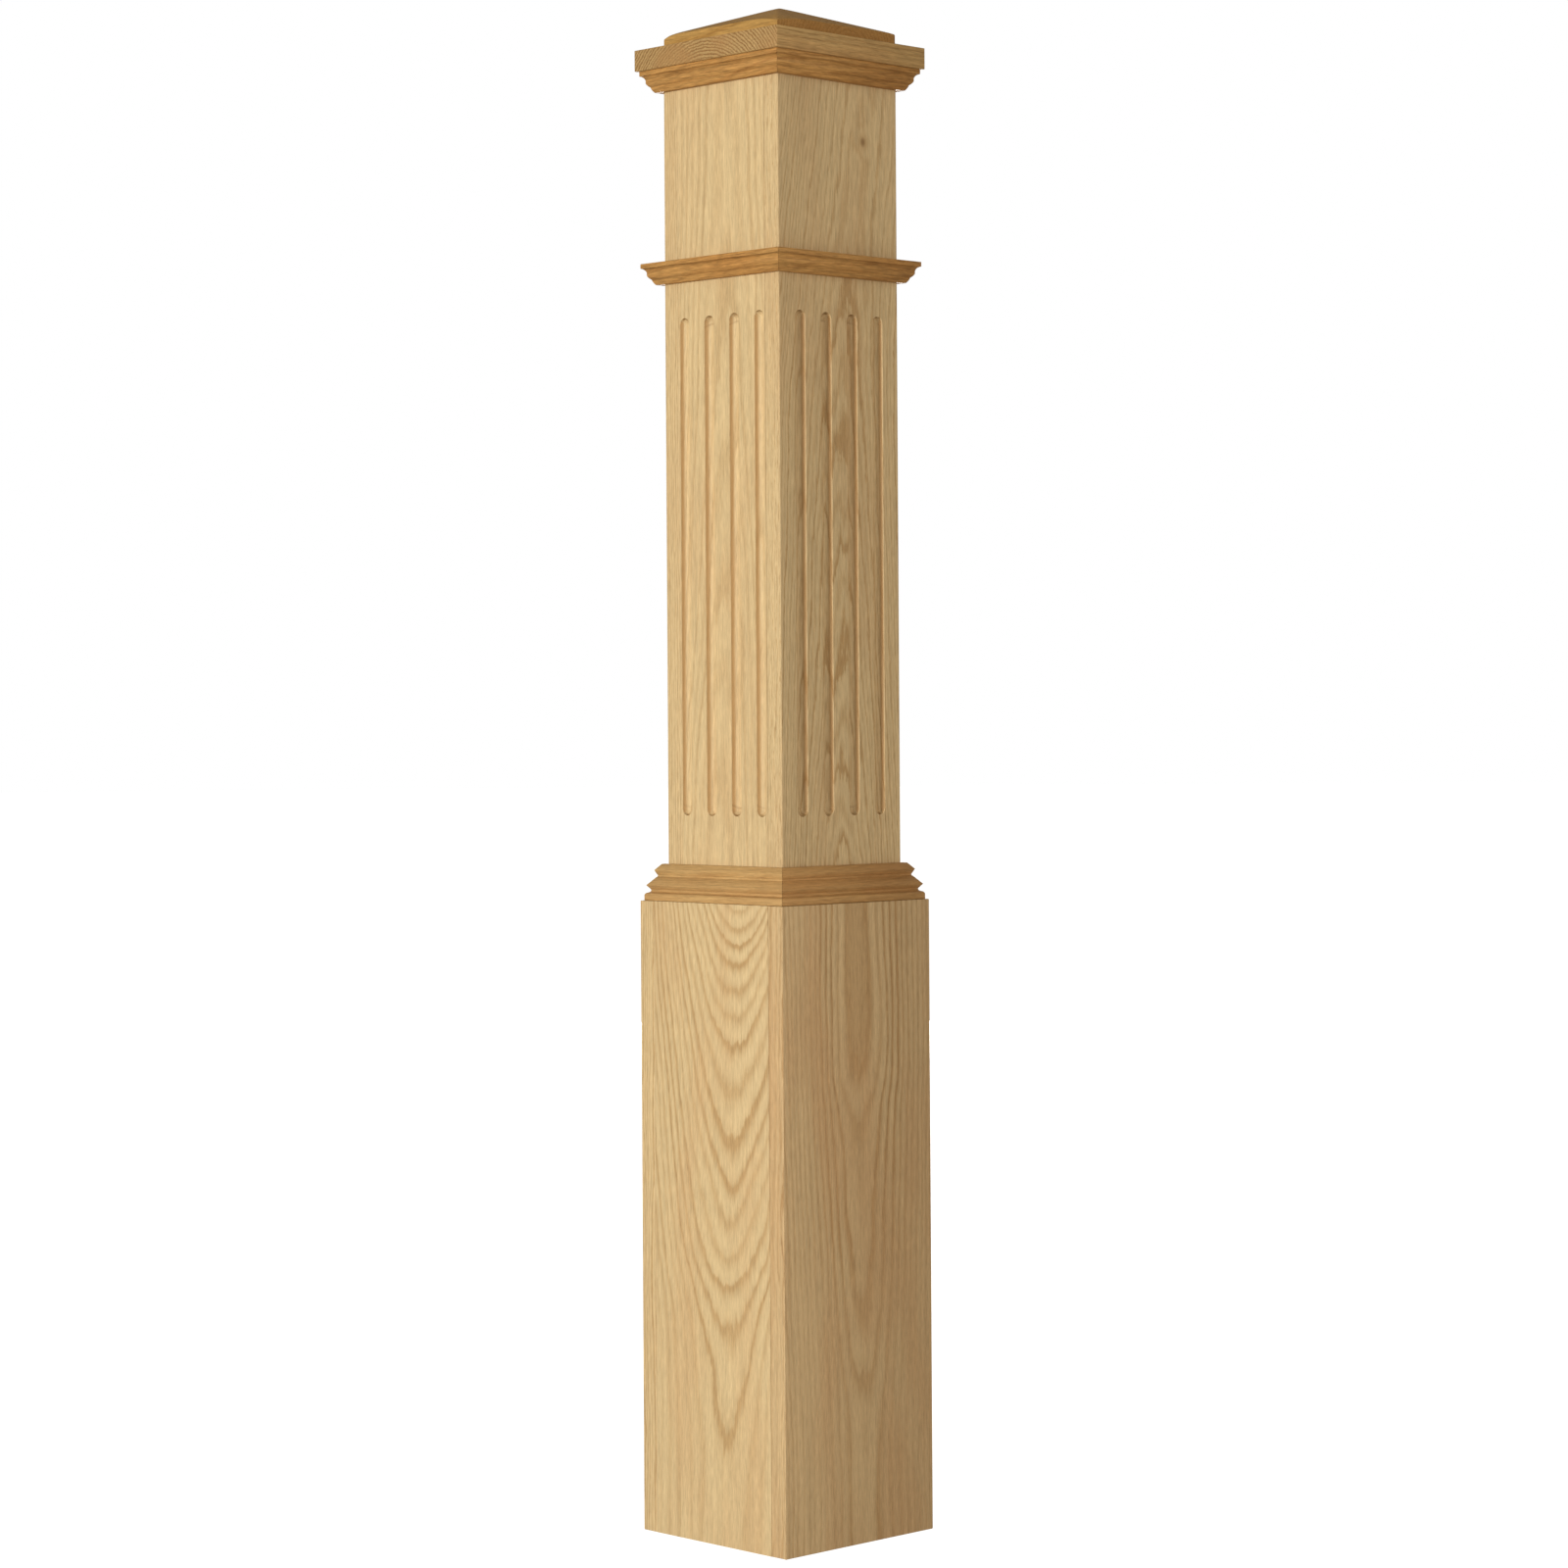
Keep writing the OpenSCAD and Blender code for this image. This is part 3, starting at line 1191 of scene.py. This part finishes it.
@dataclass
class Box:
    """A hollow box of four boards: full-width left and right boards with narrow ones between.

    Attributes:
        name: The first word of its nodes' names.
        cuts: How each side's board was sawn.
        outer_ease: How far the full-width boards' arrises are taken back, in metres.
        seam_ease: The same for the boards between them.
        groove: The flutes in its boards, if they have them.
    """

    name: str
    cuts: dict[Side, Cut]
    outer_ease: float = 0.0005
    seam_ease: float = 0.00012
    groove: Optional[Groove] = None

    def build(self) -> list[bpy.types.Object]:
        """Builds the box.

        Returns:
            Its four boards.
        """
        pieces = []
        for side, cut in self.cuts.items():
            ease = self.outer_ease if side in (Side.LEFT, Side.RIGHT) else self.seam_ease
            board = Board(f"{self.name}_{side.word}_board", side, cut, ease, self.groove)
            pieces.append(board.build())
        return pieces


@dataclass
class Moulding:
    """A moulding that runs round the post in four mitred lengths.

    Attributes:
        name: The first words of its nodes' names.
        profile: Its section, in mm out from the post and up.
        finish: Its oak.
        cuts: How each side's length was sawn.
        ease: How far its sharp edges are taken back, in metres.
    """

    name: str
    profile: list[Vector]
    finish: OakFinish
    cuts: dict[Side, Cut]
    ease: float = 0.00022

    def build(self) -> list[bpy.types.Object]:
        """Builds the four lengths.

        Returns:
            The lengths.
        """
        return [self._length(side, cut) for side, cut in self.cuts.items()]

    def _length(self, side: Side, cut: Cut) -> bpy.types.Object:
        """Builds one length of the moulding.

        Args:
            side: The side that it runs along.
            cut: How it was sawn.

        Returns:
            The new piece.
        """
        node = f"{self.name}_{side.word}"
        low, high = side_box(node, side)
        seat = -high.y
        gap = -low.y - high.x  # how far the CAD holds each mitre back from the corner
        mesh = bmesh.new()
        rings = []
        for turn in (-1, 1):
            spots = []
            for spot in self.profile:
                out = seat + spot.x * MM
                spots.append(mesh.verts.new((turn * (out - gap), -out, low.z + spot.y * MM)))
            rings.append(spots)
        count = len(self.profile)
        for index in range(count):
            after = (index + 1) % count
            mesh.faces.new((rings[0][index], rings[0][after], rings[1][after], rings[1][index]))
        for spots in rings:
            mesh.faces.new(spots)
        bmesh.ops.recalc_face_normals(mesh, faces=mesh.faces)
        sharp = [edge for edge in mesh.edges if edge.calc_face_angle(0.0) > math.radians(35)]
        ease_edges(mesh, sharp, self.ease, 2)
        sharpen(mesh, 40.0)
        piece = piece_from(mesh, f"oak_{node}", side, node)
        material = self.finish.material(piece.name, side, Grain.LEVEL, low, cut)
        piece.data.materials.append(material)
        return piece


@dataclass(frozen=True)
class WornCorner:
    """A rubbed corner of the cap: which way it lies, its drop and how far it spreads, in metres."""

    way_x: int
    way_y: int
    drop: float
    reach: float


@dataclass
class Cap:
    """The cap: a square plate with a low hipped block on it, its corners a little worn.

    Attributes:
        plate_cut: How the plate was sawn.
        top_cut: How the block was sawn.
        ease: How far the arrises are taken back, in metres.
        hip_soft: How far from each hip the roof begins to round over.
        apex_soft: How far from its point the roof begins to round over.
        riser: How high the block's upright sides are.
        corner_gap: How far short of the corners the rows of points stop.
        worn: The block's four corners.
        rings: How many rows of points there are from the eaves to the point.
        steps: How many points there are along a side.
    """

    plate_cut: Cut
    top_cut: Cut
    ease: float = 0.0006
    hip_soft: float = 0.0016
    apex_soft: float = 0.002
    riser: float = 0.0108
    corner_gap: float = 0.00018
    worn: tuple[WornCorner, ...] = (
        WornCorner(1, -1, 0.0032, 0.014),
        WornCorner(-1, -1, 0.0024, 0.0050),
        WornCorner(-1, 1, 0.0008, 0.006),
        WornCorner(1, 1, 0.0003, 0.004),
    )
    rings: int = 26
    steps: int = 28

    def build(self) -> list[bpy.types.Object]:
        """Builds the plate and the block.

        Returns:
            Both pieces.
        """
        return [self._plate(), self._top()]

    def _plate(self) -> bpy.types.Object:
        """Builds the plate.

        Returns:
            The new piece.
        """
        low, high = side_box("cap_plate", Side.FRONT)
        mesh = eased_box(low, high, self.ease)
        sharpen(mesh)
        piece = piece_from(mesh, "oak_cap_plate", Side.FRONT, "cap_plate")
        face = Vector((low.x, low.y, high.z))
        material = PLATE_OAK.material(piece.name, Side.FRONT, Grain.INWARD, face, self.plate_cut)
        piece.data.materials.append(material)
        return piece

    def _wear(self, x: float, y: float, half: float) -> float:
        """Works out how far wear has lowered the block's roof.

        Args:
            x: Where the point is.
            y: Where it is the other way.
            half: Half the block's width.

        Returns:
            The wear, in metres.
        """
        total = 0.0
        for corner in self.worn:
            away = math.hypot(x - corner.way_x * half, y - corner.way_y * half)
            total += corner.drop * math.exp(-((away / corner.reach) ** 1.6))
        return total

    def _square(self, reach: float) -> list[tuple[float, float]]:
        """Sets out the points of one square round the block's middle, closer near its corners.

        Args:
            reach: Half the square's width.

        Returns:
            The points, going round.
        """
        gap = min(self.corner_gap, reach * 0.12)
        found = []
        for quarter in range(4):
            turn = quarter * math.pi / 2
            for step in range(self.steps):
                share = -math.cos(math.pi * (step + 0.5) / self.steps)
                x, y = reach, share * (reach - gap)
                turned_x = x * math.cos(turn) - y * math.sin(turn)
                turned_y = x * math.sin(turn) + y * math.cos(turn)
                found.append((turned_x, turned_y))
        return found

    def _roof(self, x: float, y: float, low: Vector, high: Vector) -> float:
        """Works out how high the block's roof is over a point.

        Args:
            x: Where the point is.
            y: Where it is the other way.
            low: The block's lowest corner.
            high: Its highest corner.

        Returns:
            The height, in metres.
        """
        half = high.x
        first, second = abs(x), abs(y)
        near_hip = max(self.hip_soft - abs(first - second), 0.0) / self.hip_soft
        distance = max(first, second) + near_hip * near_hip * self.hip_soft * 0.25
        distance = math.sqrt(distance**2 + self.apex_soft**2) - self.apex_soft * 0.35
        rise = high.z - low.z - self.riser
        height = low.z + self.riser + rise * (1 - distance / half)
        return min(height - self._wear(x, y, half), high.z)

    def _top(self) -> bpy.types.Object:
        """Builds the hipped block.

        Returns:
            The new piece.
        """
        low, high = side_box("cap_top", Side.FRONT)
        mesh = bmesh.new()
        loops = [[mesh.verts.new((x, y, low.z)) for x, y in self._square(high.x)]]
        rim = self.ease / high.x
        rows = [(1.0, self.ease), (1.0 - rim * 0.35, self.ease * 0.35), (1.0 - rim, 0.0)]
        rows += [((1.0 - rim) * (1 - ring / self.rings), 0.0) for ring in range(1, self.rings)]
        for share, drop in rows:
            row = self._square(high.x * share)
            spots = [(x, y, self._roof(x, y, low, high) - drop) for x, y in row]
            loops.append([mesh.verts.new(spot) for spot in spots])
        count = len(loops[0])
        for outer, inner in zip(loops, loops[1:]):
            for index in range(count):
                after = (index + 1) % count
                mesh.faces.new((outer[index], outer[after], inner[after], inner[index]))
        apex = mesh.verts.new((0.0, 0.0, self._roof(0.0, 0.0, low, high)))
        for index in range(count):
            mesh.faces.new((loops[-1][index], loops[-1][(index + 1) % count], apex))
        mesh.faces.new(list(reversed(loops[0])))
        bmesh.ops.recalc_face_normals(mesh, faces=mesh.faces)
        sharpen(mesh, 40.0)
        piece = piece_from(mesh, "oak_cap_top", Side.FRONT, "cap_top")
        face = Vector((low.x, low.y, high.z))
        material = BLOCK_OAK.material(piece.name, Side.RIGHT, Grain.INWARD, face, self.top_cut)
        piece.data.materials.append(material)
        return piece


# --------------------------------------------------------------------------- the studio

FLOOR_CLOUD = Layer(1.4, 1.4, detail=3.0)  # in bumps to the metre, since the floor is in metres
FLOOR_SEED = 3.0
FLOOR_DARK = (0.44, 0.44, 0.44)
FLOOR_LIGHT = (0.46, 0.46, 0.455)


@dataclass
class Studio:
    """The floor, the light and the camera. Azimuths are in degrees round from the front.

    Attributes:
        azimuth: Where the camera stands.
        distance: How far it is from the post's middle line, in metres.
        height: How high it is.
        lens: Its focal length, in mm.
        sensor: How wide its sensor is, in mm.
        shift: How far its lens is shifted, across and up, as shares of the frame.
        roll: How far it leans, in radians.
        key_azimuth: Where the light on the front stands.
        key_power: How strong it is, in watts.
        side_azimuth: Where the light on the right stands.
        side_power: How strong it is.
        back_azimuth: Where the light behind the post stands.
        back_power: How strong it is.
        light_distance: How far the lights are from the post, in metres.
        light_size: How wide and how tall each one is.
        fill: How strong the even light from all round is.
        warm: The colour of that light and of the side and back lights.
        backdrop: How bright the backdrop is.
        floor_radius: How far the floor reaches.
        floor_glow: How bright the floor is by itself.
    """

    azimuth: float = 45.98
    distance: float = 3.0598
    height: float = 0.6353
    lens: float = 90.43
    sensor: float = 36.0
    shift: tuple[float, float] = (0.0003, -0.04646)
    roll: float = -0.0062
    key_azimuth: float = 8.0
    key_power: float = 266.0
    side_azimuth: float = 105.0
    side_power: float = 66.0
    back_azimuth: float = 225.0
    back_power: float = 130.0
    light_distance: float = 5.0
    light_size: tuple[float, float] = (1.2, 2.2)
    fill: float = 0.34
    warm: Colour = (1.0, 0.93, 0.85)
    backdrop: float = 1.0
    floor_radius: float = 30.0
    floor_glow: float = 0.92

    def build(self) -> None:
        """Sets up everything that isn't the post."""
        self._floor()
        self._light("key_light", self.key_azimuth, self.key_power, WHITE)
        self._light("side_light", self.side_azimuth, self.side_power, self.warm)
        self._light("back_light", self.back_azimuth, self.back_power, self.warm)
        self._world()
        self._camera()
        bpy.context.scene.view_settings.view_transform = "Standard"

    def _toward(self, azimuth: float) -> Vector:
        """Gives the level direction out from the post at an azimuth."""
        turn = math.radians(azimuth)
        return Vector((math.sin(turn), -math.cos(turn), 0.0))

    def _floor(self) -> None:
        """Lays a pale floor that throws no light back up at the post."""
        mesh = bmesh.new()
        bmesh.ops.create_circle(mesh, cap_ends=True, segments=96, radius=self.floor_radius)
        data = bpy.data.meshes.new("floor")
        mesh.to_mesh(data)
        mesh.free()
        floor = bpy.data.objects.new("floor", data)
        floor.location.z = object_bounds()[0].z
        bpy.context.scene.collection.objects.link(floor)
        floor.visible_diffuse = False
        floor.visible_glossy = False
        floor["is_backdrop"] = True
        material = bpy.data.materials.new("pale_floor")
        graph = Graph(material)
        place = graph.node("ShaderNodeTexCoord", {}).outputs["Object"]
        cloud = graph.layer(place, FLOOR_CLOUD, FLOOR_SEED)
        colour = graph.mix(cloud, FLOOR_DARK, FLOOR_LIGHT)
        inputs = {
            "Base Color": colour,
            "Roughness": 0.9,
            "Emission Color": (*WHITE, 1.0),
            "Emission Strength": self.floor_glow,
            "Specular IOR Level": 0.1,
        }
        shader = graph.node("ShaderNodeBsdfPrincipled", inputs).outputs[0]
        graph.node("ShaderNodeOutputMaterial", {"Surface": shader})
        data.materials.append(material)

    def _light(self, name: str, azimuth: float, power: float, colour: Colour) -> None:
        """Stands one tall soft light level with the middle of the post.

        Args:
            name: The light's name.
            azimuth: Where it stands round the post, in degrees.
            power: How strong it is, in watts.
            colour: Its colour.
        """
        middle = (CAD_BOX[0] + CAD_BOX[1]) / 2
        data = bpy.data.lights.new(name, "AREA")
        data.shape = "RECTANGLE"
        data.size, data.size_y = self.light_size
        data.energy = power
        data.color = colour
        light = bpy.data.objects.new(name, data)
        out = self._toward(azimuth)
        light.location = middle + out * self.light_distance
        light.rotation_euler = out.to_track_quat("Z", "Y").to_euler()
        bpy.context.scene.collection.objects.link(light)

    def _world(self) -> None:
        """Surrounds the post with even light, before a plain white backdrop."""
        world = bpy.data.worlds.new("studio")
        bpy.context.scene.world = world
        graph = Graph(world)
        seen = graph.node("ShaderNodeLightPath", {}).outputs["Is Camera Ray"]
        lit = graph.node("ShaderNodeBackground", {0: (*self.warm, 1.0), 1: self.fill}).outputs[0]
        plain = graph.node("ShaderNodeBackground", {0: (*WHITE, 1.0), 1: self.backdrop}).outputs[0]
        shader = graph.node("ShaderNodeMixShader", {0: seen, 1: lit, 2: plain}).outputs[0]
        graph.node("ShaderNodeOutputWorld", {"Surface": shader})

    def _camera(self) -> None:
        """Stands the camera in front of the post's near corner."""
        data = bpy.data.cameras.new("camera")
        data.lens = self.lens
        data.sensor_width = self.sensor
        data.shift_x, data.shift_y = self.shift
        camera = bpy.data.objects.new("camera", data)
        out = self._toward(self.azimuth)
        turn = out.to_track_quat("Z", "Y").to_matrix().to_4x4() @ Matrix.Rotation(self.roll, 4, "Z")
        place = out * self.distance + Vector((0.0, 0.0, self.height))
        camera.matrix_world = Matrix.Translation(place) @ turn
        bpy.context.scene.collection.objects.link(camera)
        bpy.context.scene.camera = camera


# --------------------------------------------------------------------------- how each piece is cut


def foot_profile() -> list[Vector]:
    """Draws the foot moulding's section: a square edge, a rounded shoulder and two sharp beads.

    Returns:
        Its points, in mm out from the post and up.
    """
    return [
        Vector((0.0, 0.0)),
        Vector((13.4, 0.0)),
        *bow((13.4, 3.6), (11.0, 6.1), 0.75),
        *bow((10.7, 6.4), (10.2, 9.0), -0.85),
        Vector((12.4, 11.69)),
        *bow((6.65, 18.1), (6.35, 20.1), -0.6),
        Vector((7.95, 23.4)),
        Vector((3.6, 28.3)),
        Vector((0.0, 28.3)),
    ]


def trim_profile() -> list[Vector]:
    """Draws the band's and the crown's section: two rounded steps, a cove and a square top edge.

    Returns:
        Its points, in mm out from the post and up.
    """
    return [
        Vector((0.0, 0.0)),
        *bow((4.9, 0.0), (7.3, 4.2), 0.3),
        *bow((7.5, 4.3), (9.95, 7.3), 0.3),
        *bow((9.95, 9.3), (13.0, 12.7), -0.65),
        Vector((13.4, 12.7)),
        Vector((13.4, 16.4)),
        Vector((0.0, 16.4)),
    ]


LOWER_HALF = 79.35  # half the width of the lower box, in mm
UPPER_HALF = 63.75  # half the width of the upper box, in mm
LOWER_CUTS = {
    Side.FRONT: Cut(
        centre=((0, 12), (170, 18), (320, 24), (489, 31)),
        depth=(
            (0, 107.6),
            (94, 105.9),
            (170, 101.6),
            (224, 93),
            (292, 84.4),
            (353, 75.8),
            (403, 67.2),
            (441, 58.6),
            (474, 50),
            (489, 45),
        ),
        phase=0.35,
        lines=0.85,
        fade=((0, 0.5), (100, 0.5), (180, 0.7), (300, 0.95), (489, 1.05)),
        bold=105.9,
        patches=0.5,
        fuzz=0.45,
        seed=1.3,
    ),
    Side.RIGHT: Cut(
        centre=((0, 8), (130, 6), (300, 4), (489, 1)),
        depth=(
            (0, 52.2),
            (60, 52),
            (100, 51),
            (130, 49.2),
            (205, 44.5),
            (325, 40),
            (375, 35.7),
            (489, 34.4),
        ),
        ring=4.5,
        phase=0.05,
        heart=36.1,
        fade=((0, 0.75), (100, 0.45), (180, 0.5), (250, 1.0), (489, 1.0)),
        patches=0.6,
        shade=(0.93, 0.885, 0.865),
        strips=LOWER_HALF,
        seed=5.9,
    ),
    Side.BACK: Cut(centre=((0, -20), (489, 10)), depth=((0, 70), (489, 95)), lines=0.8, seed=9.4),
    Side.LEFT: Cut(
        centre=((0, -6), (489, -18)),
        depth=((0, 62), (250, 80), (489, 70)),
        strips=LOWER_HALF,
        seed=14.2,
    ),
}
UPPER_CUTS = {
    Side.FRONT: Cut(
        centre=((388, -10), (560, -4), (700, 3), (890, 6), (1133, 8)),
        depth=((388, 66), (560, 70), (890, 80), (1133, 84)),
        ring=2.7,
        lines=0.42,
        wander=1.0,
        fiddle=0.4,
        # Painted shade: the upper front board is darkened a little, as the light falls off towards the
        # top of the post.
        shade=(0.985, 0.985, 0.98),
        seed=21.7,
    ),
    Side.RIGHT: Cut(
        centre=((388, 2), (850, 3), (967, 12), (1133, 34)),
        depth=(
            (388, 22),
            (535, 30),
            (605, 35),
            (655, 40),
            (745, 45),
            (850, 50),
            (967, 55),
            (1133, 58),
        ),
        ring=2.5,
        faint=0.4,
        fiddle=0.8,
        fuzz=0.8,
        lines=0.95,
        fade=((388, 1.0), (930, 1.0), (990, 0.85), (1133, 0.8)),
        strips=UPPER_HALF,
        knot=Knot(27.0, 1073.0, 2.3),
        seed=27.1,
    ),
    Side.BACK: Cut(
        centre=((388, 12), (1133, -5)),
        depth=((388, 80), (1133, 60)),
        ring=3.6,
        lines=0.7,
        seed=33.8,
    ),
    Side.LEFT: Cut(
        centre=((388, -25), (1133, 15)),
        depth=((388, 50), (1133, 75)),
        ring=4.0,
        lines=0.7,
        strips=UPPER_HALF,
        seed=38.3,
    ),
}


def trim_cuts(seed: float, right_painted_shade: Colour = WHITE) -> dict[Side, Cut]:
    """Gives the cuts of the four lengths of one moulding.

    Args:
        seed: A number that makes this moulding's grain its own.
        right_painted_shade: Painted shade laid over the right side's length, which stands in shade.

    Returns:
        Each side's cut.
    """
    cuts = {}
    for side in Side:
        shift = side.value * 9.0 + seed
        cuts[side] = Cut(
            centre=((-80, 44 + shift % 7), (80, 52 - shift % 5)),
            depth=((-80, 40), (80, 44)),
            ring=2.6,
            wander=1.2,
            fiddle=0.5,
            lines=0.6,
            patches=0.7,
            shade=right_painted_shade if side is Side.RIGHT else WHITE,
            seed=seed + side.value * 4.7,
        )
    return cuts


PLATE_CUT = Cut(
    centre=((-80, -2), (80, -2)),
    depth=((-80, 66), (80, 70)),
    ring=2.5,
    wander=1.0,
    fiddle=0.6,
    lines=0.55,
    patches=0.7,
    seed=83.0,
)
BLOCK_CUT = Cut(
    centre=((-80, 10), (80, 16)),
    depth=((-80, 40), (80, 46)),
    ring=3.2,
    lines=0.6,
    seed=91.0,
)

# Painted shade: the foot's right length is darkened, as the right side stands in shade.
FOOT_RIGHT_PAINTED_SHADE = (0.92, 0.84, 0.78)
FLUTE_PITCH = 0.02777
FLUTES_OVER_FOOT = 0.0378
FLUTES_UNDER_BAND = 0.0275


def set_out_flutes() -> Groove:
    """Sets out the four flutes of each upper board between the foot moulding and the band.

    Returns:
        The flutes.
    """
    centres = tuple(FLUTE_PITCH * place for place in (-1.5, -0.5, 0.5, 1.5))
    foot_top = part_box("foot_moulding_front")[1].z
    band_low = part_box("band_moulding_front")[0].z
    return Groove(centres, foot_top + FLUTES_OVER_FOOT, band_low - FLUTES_UNDER_BAND)


def main() -> None:
    """Builds the post and its studio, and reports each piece."""
    logging.basicConfig(level=logging.INFO, format="%(name)s: %(message)s")
    parts = (
        Box("lower", LOWER_CUTS),
        Box("upper", UPPER_CUTS, groove=set_out_flutes()),
        Moulding("foot_moulding", foot_profile(), FOOT_OAK, trim_cuts(51.0, FOOT_RIGHT_PAINTED_SHADE)),
        Moulding("band_moulding", trim_profile(), TRIM_OAK, trim_cuts(63.0)),
        Moulding("crown_moulding", trim_profile(), TRIM_OAK, trim_cuts(77.0)),
        Cap(PLATE_CUT, BLOCK_CUT),
    )
    for part in parts:
        for piece in part.build():
            LOG.info("%s: %d faces", piece.name, len(piece.data.polygons))
    Studio().build()


if __name__ == "__main__":
    main()
